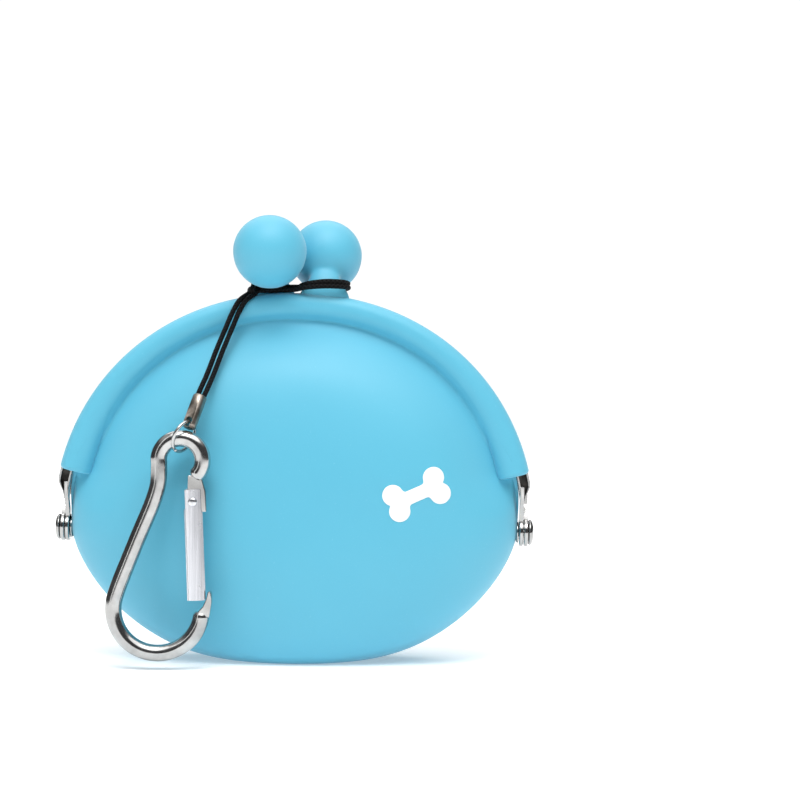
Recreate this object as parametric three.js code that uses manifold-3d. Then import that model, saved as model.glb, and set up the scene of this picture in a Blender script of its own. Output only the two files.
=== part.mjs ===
// A silicone treat pouch with a kiss-lock frame, a doubled cord and a pear-shaped snap hook.
// Millimetres, +Z up, the front wall faces -Y. The origin is the middle of the flat base.
import * as THREE from "three";
import { mergeVertices } from "three/addons/utils/BufferGeometryUtils.js";
import Module from "manifold-3d";

const wasm = await Module();
wasm.setup();

// ---- Driving dimensions -------------------------------------------------------------------

const DEG = Math.PI / 180;
const HINGE_Z = 28.4; // height of the hinge axis, which runs along X
const SKIN = 1.5; // silicone wall
const RIM_SKIN = 1.2; // silicone wall of the bowl, where the moving walls slide inside it
const GAP = 0.15; // between metal pieces that touch
const PAST = 0.1; // how far a cutting tool runs past the face that it opens

const BASE = { flatWidth: 12, flatDepth: 9, width: 48.3, depth: 19.9, visorCut: 8 };
const WALL = {
  width: 46,
  depth: 19,
  height: 47.2,
  topShare: 0.99, // how far up its own height the wall runs before it is inside the rim
  crown: 2.2, // power of its profile from the hinge line up
  skirtAngle: 28.7 * DEG, // how far its skirt hangs inside the bowl
  rimY: 2.8, // from the middle plane to the rim's line
  sideY: 0.35, // from the middle plane to the edge beside the hinge
  sideEnds: 9, // heights above the hinge where the edge leaves the middle plane
  rimStarts: 14, // and where it reaches the rim's line
};

const ARCH_POWER = 2.1; // the arches are superellipses about the hinge line
const SLEEVE = { width: 49.6, height: 48.7, halfWide: 3.2, halfDeep: 2.55, endZ: 41.5 };
const CHANNEL = { width: 51.2, height: 49.3, halfWide: 1.25, halfDeep: 1.1, sheet: 0.5, endZ: 35.5 };

const ARM = { thick: 0.9, eyelet: 3.05, frontX: 49.3, rearX: 50.35, halfWide: 1.1, topZ: 38.5, lap: 3 };
const RIVET = {
  shaft: 0.85,
  hole: 1.0,
  tailX: 48.65, // inner end of the rivet
  tail: 2.3,
  tailThick: 0.5,
  headX: 51.4, // underside of the head
  head: 2.8,
  headEdge: 0.3,
  dome: 1.2,
};

const BALL = { radius: 8, x: 5.9, y: 5.8, z: 89, neckX: 4.2, neckY: 2.5, footZ: 80.7 };
const NECK = { riseZ: 85, leanY: 1, leanZ: 87 }; // handles of the neck's S-shaped line
const POST = { stem: 0.9, bead: 4.5, footZ: 79.1, clearance: 0.35 };

const CORD = 1.1;
const FERRULE = { radius: 1.5, bore: 1.2, boreDepth: 4, below: 1.3, hole: 0.85 };
const FERRULE_TOP = new THREE.Vector3(-19.4, -18.6, 57.3);
const FERRULE_HOLE = new THREE.Vector3(-21, -21.6, 52);

const RING = { radius: 3.35, wire: 0.35, yaw: 32 * DEG };
const RING_CENTRE = new THREE.Vector3(-22.4, -21.6, 48.95);

const HOOK = {
  wire: 1.75,
  loop: 4.6, // radius of the wire's line round the top loop
  bow: 9.3, // and round the bow
  bowV: -31.5, // the bow's centre, below the loop's
  nose: 4, // turns in degrees where the two arcs start and end
  bowEnd: -192,
  loopStart: 200,
  loopEnd: -42,
  tilt: 8 * DEG,
  dropInRing: 0.4,
};
const TONGUE_THICK = 1.7;
const LIP_THICK = 2.6;
const GATE = {
  u: 4, // the pin, across and below the top loop's centre
  v: -8.2,
  lean: 10.9 * DEG,
  above: 2.6, // the gate's ends, above and below the pin
  below: 20.6,
  half: 2.1,
  deep: 1.8,
  sheet: 0.55,
  notchFrom: -1.5, // its fold is cut back from here up
};
const PIN = { radius: 0.6, hole: 0.75, head: 0.95, headThick: 0.35 };
const SPRING = { radius: 0.75, wire: 0.16, length: 5, turns: 5, top: 4 };

// ---- Materials ----------------------------------------------------------------------------

const silicone = new THREE.MeshStandardMaterial({ color: 0x74cbea, roughness: 0.62 });
const nickel = new THREE.MeshStandardMaterial({ color: 0xc9cacc, roughness: 0.25, metalness: 1 });
const gunmetal = new THREE.MeshStandardMaterial({ color: 0x8f8a84, roughness: 0.35, metalness: 1 });
const aluminium = new THREE.MeshStandardMaterial({ color: 0xd6d9e2, roughness: 0.3, metalness: 1 });
const nylon = new THREE.MeshStandardMaterial({ color: 0x121214, roughness: 0.8 });

// ---- Solids -------------------------------------------------------------------------------

function solidOf(geometry) {
  const plain = new THREE.BufferGeometry();
  plain.setAttribute("position", geometry.getAttribute("position"));
  if (geometry.index) plain.setIndex(geometry.index);
  const merged = mergeVertices(plain, 1e-4);
  const mesh = new wasm.Mesh({
    numProp: 3,
    vertProperties: merged.getAttribute("position").array,
    triVerts: new Uint32Array(merged.index.array),
  });
  return new wasm.Manifold(mesh);
}

function geometryOf(solid) {
  const mesh = solid.getMesh();
  const geometry = new THREE.BufferGeometry();
  geometry.setAttribute("position", new THREE.BufferAttribute(mesh.vertProperties, 3));
  geometry.setIndex(new THREE.BufferAttribute(mesh.triVerts, 1));
  geometry.computeVertexNormals();
  return geometry;
}

function join(...geometries) {
  return geometryOf(geometries.map(solidOf).reduce((whole, next) => whole.add(next)));
}

function cut(geometry, ...tools) {
  return geometryOf(tools.map(solidOf).reduce((whole, tool) => whole.subtract(tool), solidOf(geometry)));
}

function meshNamed(name, geometry, material) {
  const mesh = new THREE.Mesh(geometry, material);
  mesh.name = name;
  return mesh;
}

// A shape swept along a curve: the shape's y points to the outside of an arch in the XZ plane.
function sweep(shape, curve, steps) {
  return new THREE.ExtrudeGeometry(shape, { extrudePath: curve, steps, bevelEnabled: false });
}

function ellipse(halfX, halfY, sides) {
  const points = [];
  for (let i = 0; i < sides; i++) {
    const turn = (2 * Math.PI * i) / sides;
    points.push(new THREE.Vector2(halfX * Math.cos(turn), halfY * Math.sin(turn)));
  }
  return new THREE.Shape(points);
}

function rectangle(halfX, halfY) {
  const shape = new THREE.Shape();
  shape.moveTo(-halfX, -halfY);
  shape.lineTo(halfX, -halfY);
  shape.lineTo(halfX, halfY);
  shape.lineTo(-halfX, halfY);
  return shape;
}

// A rod between two points.
function rod(radius, from, to, sides = 20) {
  const along = new THREE.Vector3().subVectors(to, from);
  const geometry = new THREE.CylinderGeometry(radius, radius, along.length(), sides);
  geometry.translate(0, along.length() / 2, 0);
  const turn = new THREE.Quaternion().setFromUnitVectors(new THREE.Vector3(0, 1, 0), along.normalize());
  return geometry.applyQuaternion(turn).translate(from.x, from.y, from.z);
}

// A flat plate in the XZ plane, centred on Y = 0, from a list of [x, z] corners.
function plate(corners, thick) {
  const shape = new THREE.Shape(corners.map(([x, z]) => new THREE.Vector2(x, z)));
  const geometry = new THREE.ExtrudeGeometry(shape, { depth: thick, bevelEnabled: false });
  return geometry.rotateX(Math.PI / 2).translate(0, thick / 2, 0);
}

// Joins rings of points into one closed skin, with the first and last rings closed by a fan.
function loft(rings) {
  const sides = rings[0].length;
  const positions = [];
  const triangles = [];
  for (const ring of rings) {
    for (const point of ring) positions.push(point.x, point.y, point.z);
  }
  for (let row = 0; row + 1 < rings.length; row++) {
    for (let i = 0; i < sides; i++) {
      const a = row * sides + i;
      const b = row * sides + ((i + 1) % sides);
      triangles.push(a, b, b + sides, a, b + sides, a + sides);
    }
  }
  closeWithFan(positions, triangles, rings[0], 0, true);
  closeWithFan(positions, triangles, rings.at(-1), (rings.length - 1) * sides, false);
  const geometry = new THREE.BufferGeometry();
  geometry.setAttribute("position", new THREE.Float32BufferAttribute(positions, 3));
  geometry.setIndex(triangles);
  return geometry;
}

function closeWithFan(positions, triangles, ring, start, first) {
  const middle = new THREE.Vector3();
  for (const point of ring) middle.addScaledVector(point, 1 / ring.length);
  const hub = positions.length / 3;
  positions.push(middle.x, middle.y, middle.z);
  for (let i = 0; i < ring.length; i++) {
    const next = start + ((i + 1) % ring.length);
    if (first) triangles.push(hub, next, start + i);
    else triangles.push(hub, start + i, next);
  }
}

// ---- The silicone pouch -------------------------------------------------------------------

// Half width and half depth of the bowl at a height, from the flat base up to the hinge line.
function bowlWidth(z) {
  const rise = Math.min(Math.max(z / HINGE_Z, 0), 1);
  const spread = (1 - (1 - rise) ** 1.5) ** (1 / 1.95);
  return BASE.flatWidth + (BASE.width - BASE.flatWidth) * spread;
}

function bowlDepth(z) {
  const rise = Math.min(Math.max(z / HINGE_Z, 0), 1);
  return BASE.flatDepth + (BASE.depth - BASE.flatDepth) * Math.sqrt(1 - (1 - rise) ** 2);
}

// The lower bowl. Its rim dips at the front and rear, where the moving walls slide inside it.
function pouchBase() {
  const sides = 40;
  const rows = 8;
  const lift = SKIN - PAST;
  const outer = [];
  const inner = [];
  for (let row = 0; row <= rows; row++) {
    const rise = (row / rows) ** 2;
    outer.push([]);
    inner.push([]);
    for (let i = 0; i < sides; i++) {
      const turn = (2 * Math.PI * i) / sides;
      const rim = HINGE_Z - BASE.visorCut * Math.abs(Math.sin(turn));
      const z = rise * rim;
      const zIn = SKIN + rise * (rim - SKIN);
      const width = bowlWidth(zIn - lift) - RIM_SKIN;
      const depth = bowlDepth(zIn - lift) - RIM_SKIN;
      outer[row].push(new THREE.Vector3(bowlWidth(z) * Math.cos(turn), bowlDepth(z) * Math.sin(turn), z));
      inner[row].push(new THREE.Vector3(width * Math.cos(turn), depth * Math.sin(turn), zIn));
    }
  }
  return loft([...outer, ...inner.reverse()]);
}

// A superellipse arch about the hinge line, from one end height over the top to the other.
class Arch extends THREE.Curve {
  constructor(width, height, y, endZ) {
    super();
    this.width = width;
    this.height = height;
    this.y = y;
    this.start = Math.asin(((endZ - HINGE_Z) / height) ** (ARCH_POWER / 2));
  }

  getPoint(t, target = new THREE.Vector3()) {
    const angle = this.start + t * (Math.PI - 2 * this.start);
    const power = 2 / ARCH_POWER;
    const x = this.width * Math.sign(Math.cos(angle)) * Math.abs(Math.cos(angle)) ** power;
    const z = HINGE_Z + this.height * Math.abs(Math.sin(angle)) ** power;
    return target.set(x, this.y, z);
  }
}

// One point of the front wall's skin, shrunk towards the inside by inset.
function wallPoint(across, up, inset) {
  const turn = Math.PI * across;
  const low = -WALL.depth * Math.sin(WALL.skirtAngle) * Math.sin(turn);
  const top = (WALL.height - inset) * WALL.topShare;
  const rise = low + (top - low) * Math.sin((up * Math.PI) / 2);
  const share = Math.max(rise, 0) / (WALL.height - inset);
  const width = (WALL.width - inset) * (1 - share ** ARCH_POWER) ** (1 / ARCH_POWER);
  const opened = THREE.MathUtils.smoothstep(rise, WALL.sideEnds, WALL.rimStarts);
  const edge = opened * (WALL.rimY - WALL.sideY) + WALL.sideY;
  const reach = (WALL.depth - inset) * Math.sqrt(1 - share ** WALL.crown) * Math.sin(turn);
  const depth = Math.sqrt(Math.max(reach ** 2 - Math.min(rise, 0) ** 2, 0));
  const y = -(edge * (1 - Math.sin(turn)) + depth);
  return new THREE.Vector3(width * Math.cos(turn), y, HINGE_Z + rise);
}

// The front wall's skin: strips of outer and inner points, lofted from one side edge to the other.
function wallSkin() {
  const columns = 22;
  const rows = 10;
  const rings = [];
  for (let i = 0; i <= columns; i++) {
    const outer = [];
    const inner = [];
    for (let row = 0; row <= rows; row++) {
      outer.push(wallPoint(i / columns, row / rows, 0));
      inner.push(wallPoint(i / columns, row / rows, SKIN));
    }
    rings.push([...outer, ...inner.reverse()]);
  }
  return loft(rings);
}

// The wall with its hollow rim, which the steel channel runs through, and the hole for the post.
function frontWall() {
  const sleeve = new Arch(SLEEVE.width, SLEEVE.height, -WALL.rimY, SLEEVE.endZ);
  const bore = new Arch(CHANNEL.width, CHANNEL.height, -WALL.rimY, CHANNEL.endZ - ARM.lap);
  const boreShape = rectangle(CHANNEL.halfDeep + GAP, CHANNEL.halfWide + GAP);
  const foot = new THREE.Vector3(BALL.x, -WALL.rimY, POST.footZ - SLEEVE.halfWide / 2);
  const above = new THREE.Vector3(BALL.x, -WALL.rimY, BALL.footZ + SLEEVE.halfWide / 2);
  const body = join(wallSkin(), sweep(ellipse(SLEEVE.halfDeep, SLEEVE.halfWide, 10), sleeve, 24));
  return cut(body, sweep(boreShape, bore, 28), rod(POST.stem + POST.clearance, foot, above));
}

// The S-shaped line of a neck, straight up out of the rim and over to the other side.
function neckCurve(footZ) {
  const lean = (y, z) => new THREE.Vector3(BALL.x, y, z);
  return new THREE.CubicBezierCurve3(
    lean(-WALL.rimY, footZ),
    lean(-WALL.rimY, NECK.riseZ),
    lean(NECK.leanY, NECK.leanZ),
    lean(BALL.y, BALL.z),
  );
}

function sphereAtBall(radius, sides) {
  return new THREE.SphereGeometry(radius, sides, sides / 2).translate(BALL.x, BALL.y, BALL.z);
}

function frontBall() {
  const neck = sweep(ellipse(BALL.neckX, BALL.neckY, 12), neckCurve(BALL.footZ), 6);
  const hole = POST.stem + POST.clearance;
  const stemHole = sweep(ellipse(hole, hole, 8), neckCurve(POST.footZ - PAST), 8);
  const beadHole = sphereAtBall(POST.bead + POST.clearance, 12);
  return cut(join(neck, sphereAtBall(BALL.radius, 20)), stemHole, beadHole);
}

function frontPost() {
  const stem = sweep(ellipse(POST.stem, POST.stem, 8), neckCurve(POST.footZ), 8);
  return join(stem, sphereAtBall(POST.bead, 12));
}

// ---- The steel frames ---------------------------------------------------------------------

// The channel's section: x points to the front, where it is open, and y to the outside.
function channelShape() {
  const { halfDeep, halfWide, sheet } = CHANNEL;
  const shape = new THREE.Shape();
  shape.moveTo(-halfDeep, -halfWide);
  shape.lineTo(halfDeep, -halfWide);
  shape.lineTo(halfDeep, -halfWide + sheet);
  shape.lineTo(-halfDeep + sheet, -halfWide + sheet);
  shape.lineTo(-halfDeep + sheet, halfWide - sheet);
  shape.lineTo(halfDeep, halfWide - sheet);
  shape.lineTo(halfDeep, halfWide);
  shape.lineTo(-halfDeep, halfWide);
  return shape;
}

// A flattened arm from the channel's end down to its eyelet, at one side.
function arm(x) {
  const low = new THREE.Vector3(x, 0, HINGE_Z);
  const high = new THREE.Vector3(x + ARM.thick, 0, HINGE_Z);
  const leaf = new THREE.Shape();
  leaf.moveTo(-ARM.halfWide, HINGE_Z);
  leaf.lineTo(ARM.halfWide, HINGE_Z);
  leaf.lineTo(-WALL.rimY + CHANNEL.halfDeep, ARM.topZ - ARM.lap);
  leaf.lineTo(-WALL.rimY + CHANNEL.halfDeep, ARM.topZ);
  leaf.lineTo(-WALL.rimY - CHANNEL.halfDeep, ARM.topZ);
  leaf.lineTo(-WALL.rimY - CHANNEL.halfDeep, ARM.topZ - ARM.lap);
  const strip = new THREE.ExtrudeGeometry(leaf, { depth: ARM.thick, bevelEnabled: false });
  const upright = new THREE.Matrix4().makeBasis(
    new THREE.Vector3(0, 1, 0),
    new THREE.Vector3(0, 0, 1),
    new THREE.Vector3(1, 0, 0),
  );
  return join(strip.applyMatrix4(upright).translate(x, 0, 0), rod(ARM.eyelet, low, high, 18));
}

// One spring-steel frame: an arch of channel, two arms and their rivet holes.
function frameArch(armX) {
  const line = new Arch(CHANNEL.width, CHANNEL.height, -WALL.rimY, CHANNEL.endZ);
  const beyond = RIVET.headX + RIVET.dome;
  const left = new THREE.Vector3(-beyond, 0, HINGE_Z);
  const right = new THREE.Vector3(beyond, 0, HINGE_Z);
  const body = join(sweep(channelShape(), line, 28), arm(armX), arm(-armX - ARM.thick));
  return cut(body, rod(RIVET.hole, left, right));
}

// A hinge rivet along +X: flat tail on the inside, domed head on the outside.
function rivet() {
  const { shaft, tail, tailThick, tailX, head, headEdge, headX, dome } = RIVET;
  const profile = [
    [0, tailX],
    [tail, tailX],
    [tail, tailX + tailThick],
    [shaft, tailX + tailThick],
    [shaft, headX],
    [head, headX],
  ];
  for (const turn of [0, 30, 60, 90]) {
    const rise = headEdge + (dome - headEdge) * Math.sin(turn * DEG);
    profile.push([Math.max(head * Math.cos(turn * DEG), 0), headX + rise]);
  }
  const turned = new THREE.LatheGeometry(profile.map(([r, x]) => new THREE.Vector2(r, x)), 16);
  return turned.rotateZ(-Math.PI / 2).translate(0, 0, HINGE_Z);
}

// ---- The cord -----------------------------------------------------------------------------

function cordTube(points, steps) {
  const line = new THREE.CatmullRomCurve3(points.map(([x, y, z]) => new THREE.Vector3(x, y, z)));
  return sweep(ellipse(CORD / 2, CORD / 2, 8), line, steps);
}

// The hitch: in front of the left neck, round the right neck, and back.
const LOOP_ROUTE = [
  [-8.6, -3.4, 80.6],
  [-5, -3.2, 80.8],
  [-0.5, -4, 81],
  [2, -5.9, 81.5],
  [6, -6.5, 81.9],
  [10, -5.6, 81.9],
  [11.5, -2.8, 81.7],
  [10, 0, 81.3],
  [6, 0.9, 80.9],
  [2, -0.2, 80.9],
  [-1, -1.2, 81],
  [-5, -1.5, 81],
  [-8.6, -1.7, 80.9],
];

// From the hitch over the rim and down the front wall to the ferrule.
const STRAND_ROUTE = [
  [-9.7, -4.2, 80.1],
  [-11.6, -6.3, 78.4],
  [-12.9, -7.2, 76],
  [-14.4, -9, 72],
  [-16, -11.7, 67.4],
  [-17.7, -14.8, 62],
  [-19, -17.6, 58.3],
];

function strand(side) {
  const offset = side * (CORD / 2 + GAP);
  return cordTube(STRAND_ROUTE.map(([x, y, z]) => [x + offset, y, z]), 10);
}

// ---- The ferrule and the ring -------------------------------------------------------------

// The ring's own axes: out to the ferrule's hole, along the wire there, and its normal.
function ringAxes() {
  const out = new THREE.Vector3().subVectors(FERRULE_HOLE, RING_CENTRE).normalize();
  const along = new THREE.Vector3(Math.sin(RING.yaw), Math.cos(RING.yaw), 0);
  const normal = new THREE.Vector3().crossVectors(out, along).normalize();
  return { out, along: new THREE.Vector3().crossVectors(normal, out), normal };
}

function ferrule() {
  const down = new THREE.Vector3().subVectors(FERRULE_HOLE, FERRULE_TOP).normalize();
  const end = FERRULE_HOLE.clone().addScaledVector(down, FERRULE.below);
  const boreEnd = FERRULE_TOP.clone().addScaledVector(down, FERRULE.boreDepth);
  const boreStart = FERRULE_TOP.clone().addScaledVector(down, -PAST);
  const { along } = ringAxes();
  const near = FERRULE_HOLE.clone().addScaledVector(along, -2 * FERRULE.radius);
  const far = FERRULE_HOLE.clone().addScaledVector(along, 2 * FERRULE.radius);
  const tube = rod(FERRULE.radius, FERRULE_TOP, end, 24);
  return cut(tube, rod(FERRULE.bore, boreStart, boreEnd), rod(FERRULE.hole, near, far, 16));
}

function jumpRing() {
  const { out, along, normal } = ringAxes();
  const place = new THREE.Matrix4().makeBasis(out, along, normal).setPosition(RING_CENTRE);
  return new THREE.TorusGeometry(RING.radius, RING.wire, 6, 24).applyMatrix4(place);
}

// ---- The snap hook, drawn in its own plane (u across, v up) about its top loop ------------

function hookArc(list, radius, centreV, fromDeg, toDeg, count) {
  for (let i = 0; i <= count; i++) {
    const angle = (fromDeg + ((toDeg - fromDeg) * i) / count) * DEG;
    list.push(new THREE.Vector3(radius * Math.cos(angle), 0, centreV + radius * Math.sin(angle)));
  }
}

// Where the long bar runs between the bow and the top loop, as [u, v].
const LONG_BAR = [
  [-6.5, -18],
  [-4.3, -9],
  [-3.9, -5.4],
];

// The wire's line: from the nose round the bow, up the long bar, and round the top loop.
function hookLine() {
  const points = [];
  hookArc(points, HOOK.bow, HOOK.bowV, HOOK.nose, HOOK.bowEnd, 14);
  for (const [u, v] of LONG_BAR) points.push(new THREE.Vector3(u, 0, v));
  hookArc(points, HOOK.loop, 0, HOOK.loopStart, HOOK.loopEnd, 12);
  return new THREE.CatmullRomCurve3(points, false, "centripetal");
}

// The flattened tongue that the gate turns on, in the gate's own axes about the pin.
const TONGUE = [
  [-1.1, -1.1],
  [0.4, -2.2],
  [2.7, -2.2],
  [2.7, 2],
  [1.9, 5.4],
  [-0.9, 5.6],
  [-1.1, 2],
];

// The thin lip at the nose that stops the gate.
const LIP = [
  [11, -31.6],
  [11, -28.4],
  [10.6, -26.4],
  [10.25, -26.3],
  [10.25, -29.2],
  [9, -31],
];

function onPin(geometry) {
  return geometry.rotateY(-GATE.lean).translate(GATE.u, 0, GATE.v);
}

function pinHole(radius, half) {
  return rod(radius, new THREE.Vector3(0, -half, 0), new THREE.Vector3(0, half, 0), 12);
}

function hookWire() {
  const wire = sweep(ellipse(HOOK.wire, HOOK.wire, 8), hookLine(), 44);
  const body = join(wire, onPin(plate(TONGUE, TONGUE_THICK)), plate(LIP, LIP_THICK));
  return cut(body, onPin(pinHole(PIN.hole, 2 * GATE.deep)));
}

// The gate: sheet folded round the tongue, with its fold cut back above the pin.
function hookGate() {
  const { half, deep, sheet, above, below, notchFrom } = GATE;
  const bend = deep - half;
  const fold = new THREE.Shape();
  fold.moveTo(half, -deep);
  fold.lineTo(half, -deep + sheet);
  fold.lineTo(bend, -deep + sheet);
  fold.absarc(bend, 0, deep - sheet, -Math.PI / 2, Math.PI / 2, true);
  fold.lineTo(half, deep - sheet);
  fold.lineTo(half, deep);
  fold.lineTo(bend, deep);
  fold.absarc(bend, 0, deep, Math.PI / 2, (3 * Math.PI) / 2, false);
  const length = above + below;
  const folded = new THREE.ExtrudeGeometry(fold, { depth: length, bevelEnabled: false, curveSegments: 5 });
  const cutAway = new THREE.BoxGeometry(3 * half, 2 * (deep - sheet), length);
  const notch = cutAway.translate(0, 0, notchFrom + length / 2);
  return onPin(cut(folded.translate(0, 0, -below), notch, pinHole(PIN.hole, 2 * deep)));
}

function gatePin() {
  const end = GATE.deep + GAP / 2;
  const profile = [
    [0, -end - PIN.headThick],
    [PIN.head, -end - PIN.headThick],
    [PIN.head, -end],
    [PIN.radius, -end],
    [PIN.radius, end],
    [PIN.head, end],
    [PIN.head, end + PIN.headThick],
    [0, end + PIN.headThick],
  ];
  return onPin(new THREE.LatheGeometry(profile.map(([r, y]) => new THREE.Vector2(r, y)), 12));
}

// The small coil spring that lies inside the fold and presses on the tongue.
class Coil extends THREE.Curve {
  getPoint(t, target = new THREE.Vector3()) {
    const turn = 2 * Math.PI * SPRING.turns * t;
    const x = SPRING.radius * Math.cos(turn);
    const y = SPRING.radius * Math.sin(turn);
    return target.set(x, y, -SPRING.top - SPRING.length * t);
  }
}

function gateSpring() {
  return onPin(sweep(ellipse(SPRING.wire, SPRING.wire, 4), new Coil(), SPRING.turns * 8));
}

// ---- Assembly -----------------------------------------------------------------------------

// Half of the clasp. The rear half is the front half turned round, with its arms further out.
function claspHalf(name, armX) {
  const half = new THREE.Group();
  half.add(meshNamed(`${name}_wall`, frontWall(), silicone));
  half.add(meshNamed(`${name}_ball`, frontBall(), silicone));
  half.add(meshNamed(`${name}_frame_arch`, frameArch(armX), nickel));
  half.add(meshNamed(`${name}_post`, frontPost(), nickel));
  return half;
}

function snapHook() {
  const hook = new THREE.Group();
  hook.add(meshNamed("hook_wire", hookWire(), nickel));
  hook.add(meshNamed("hook_gate", hookGate(), aluminium));
  hook.add(meshNamed("gate_pin", gatePin(), aluminium));
  hook.add(meshNamed("gate_spring", gateSpring(), gunmetal));
  hook.rotation.y = HOOK.tilt;
  hook.position.set(
    RING_CENTRE.x - HOOK.loop * Math.sin(HOOK.tilt),
    RING_CENTRE.y,
    RING_CENTRE.z - HOOK.dropInRing - HOOK.loop * Math.cos(HOOK.tilt),
  );
  return hook;
}

const pouch = new THREE.Group();
pouch.add(meshNamed("pouch_base", pouchBase(), silicone));

const frontHalf = claspHalf("front", ARM.frontX);
const rearHalf = claspHalf("rear", ARM.rearX);
rearHalf.rotation.z = Math.PI;
pouch.add(frontHalf, rearHalf);

for (const [name, turn] of [["right_rivet", 0], ["left_rivet", Math.PI]]) {
  const mesh = meshNamed(name, rivet(), nickel);
  mesh.rotation.z = turn;
  pouch.add(mesh);
}

pouch.add(meshNamed("strap_loop", cordTube(LOOP_ROUTE, 22), nylon));
pouch.add(meshNamed("strap_strand_left", strand(-1), nylon));
pouch.add(meshNamed("strap_strand_right", strand(1), nylon));
pouch.add(meshNamed("ferrule", ferrule(), gunmetal));
pouch.add(meshNamed("jump_ring", jumpRing(), nickel));
pouch.add(snapHook());

export default pouch;
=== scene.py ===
"""A soft silicone treat pouch with a kiss-lock frame, a doubled cord and a snap hook.

Lengths in the shape code are millimetres; mesh_object() turns them into metres.
X runs across the pouch, the front faces -Y, and Z is up from the floor.
"""

import math

import bpy
from mathutils import Matrix, Vector


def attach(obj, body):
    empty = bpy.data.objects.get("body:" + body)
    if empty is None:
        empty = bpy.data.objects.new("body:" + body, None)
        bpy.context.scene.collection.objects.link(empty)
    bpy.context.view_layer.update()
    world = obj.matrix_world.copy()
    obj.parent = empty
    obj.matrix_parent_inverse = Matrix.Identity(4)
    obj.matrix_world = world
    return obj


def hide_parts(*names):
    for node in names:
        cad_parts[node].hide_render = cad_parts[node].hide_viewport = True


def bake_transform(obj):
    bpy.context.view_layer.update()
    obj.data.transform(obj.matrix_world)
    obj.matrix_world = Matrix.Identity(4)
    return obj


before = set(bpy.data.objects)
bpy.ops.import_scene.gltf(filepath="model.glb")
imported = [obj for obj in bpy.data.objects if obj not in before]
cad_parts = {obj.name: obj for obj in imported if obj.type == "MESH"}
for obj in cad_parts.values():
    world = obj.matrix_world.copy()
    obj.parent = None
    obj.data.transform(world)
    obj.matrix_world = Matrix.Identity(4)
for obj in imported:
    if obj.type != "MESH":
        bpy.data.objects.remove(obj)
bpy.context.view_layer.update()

MM = 0.001

# ---- Driving dimensions -------------------------------------------------------------------

HINGE_Z = 28.4
ARCH_POWER = 2.1  # the rims, the frames and the walls are superellipses about the hinge line

RIM_Y = 2.8  # from the middle plane to each rim
SLEEVE_OUT = (52.75, 51.9)  # outer edge of the hollow rim: half width and height
SLEEVE_HALF_WIDE = (3.55, 2.85)  # at its ends and at the top
SLEEVE_HALF_DEEP = (3.2, 2.68)  # towards the wall and towards the mouth
SLEEVE_END_Z = 41.5
SLEEVE_NARROWS = 13  # the rise above the hinge line from which the rim gets narrower
SLEEVE_POWER = 2.3  # the rim's own section is a superellipse too
SLEEVE_ROUNDING = [(0.0, 0.72), (0.08, 0.84), (0.3, 0.94), (0.75, 1.0)]  # mm from its end, scale
SLEEVE_STEPS = 140
SLEEVE_SIDES = 36

SKIN = 1.5
BAG_HALF_WIDTH = 48.9
BAG_HALF_DEPTH = 19.4
FLAT_HALF_WIDTH = 12.0
FLAT_HALF_DEPTH = 9.0
BOWL_POWERS = (1.5, 1.95)
WALL_HEIGHT = SLEEVE_OUT[1] - SLEEVE_HALF_WIDE[1]  # from the hinge line to the middle of the rim
SHOULDER = 0.8  # how much wider the bag gets between the hinge line and the rim's ends
SHOULDER_GROWS = (0, 10)
SHOULDER_FADES = (13, 22)
GROOVE = 0.15  # how far in from its edge the wall is pulled down, as a share
GROOVE_POWER = 1.8
CROWN = 2.6
FULLNESS = 0.7
SIDE_OPENS = (3, 13.5)  # rises between which the bag's rounded side turns into wall and groove
CREASE = 2.4  # difference in depth within which rim and wall run into each other
RIM_STARTS = SLEEVE_END_Z - HINGE_Z - 0.3
RIM_START_LENGTH = 1.5
RIM_MELT_LENGTH = 9.0  # added on the rim's inner side
RIM_MELT_ACROSS = (0.7, 1.6)  # where that side lies, in half widths of the rim
RIM_ROUND = 2.1

BOWL_ROWS = 44
WALL_ROWS = 96
WALL_TOP = 0.9995  # the skin stops just short of the point where its width is nothing
SKIN_COLUMNS = 150
SKIN_CROWDING = 0.6
FLOOR_RINGS = (0.2, 0.4, 0.6, 0.8)

GUSSET_RISE = (-3.0, 12.6)
GUSSET_INSET = 1.3
GUSSET_DEEP = 1.9
GUSSET_SHEET = 0.7
GUSSET_ROWS = 14
GUSSET_COLUMNS = 6

CHANNEL_LINE = (51.2, 49.3)
CHANNEL_HALF_WIDE = 1.25
CHANNEL_HALF_DEEP = 1.1
CHANNEL_SHEET = 0.4
CHANNEL_END_Z = 35.5
CHANNEL_STEPS = 150
CHANNEL_SIDES = 8
# These sides get the painted shade material in steel_frame().
CHANNEL_INSIDE = (2, 3, 4)  # the section's sides that face into the channel
CHANNEL_TAPER = 0.3  # width left at its ends, as a share
CHANNEL_TAPER_LENGTH = 3.4
ARM_THICK = 0.9
ARM_X = {"front": 49.3, "rear": 50.35}
ARM_TOP_Z = 38.5
ARM_WAIST = 1.05
EYELET = 3.05
EYELET_EASE = 0.18
RIVET_HEAD = 2.8
RIVET_DOME = 1.2
RIVET_TAIL_X = 48.65
RIVET_HEAD_X = 51.4
RIVET_SIDES = 44

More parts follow.
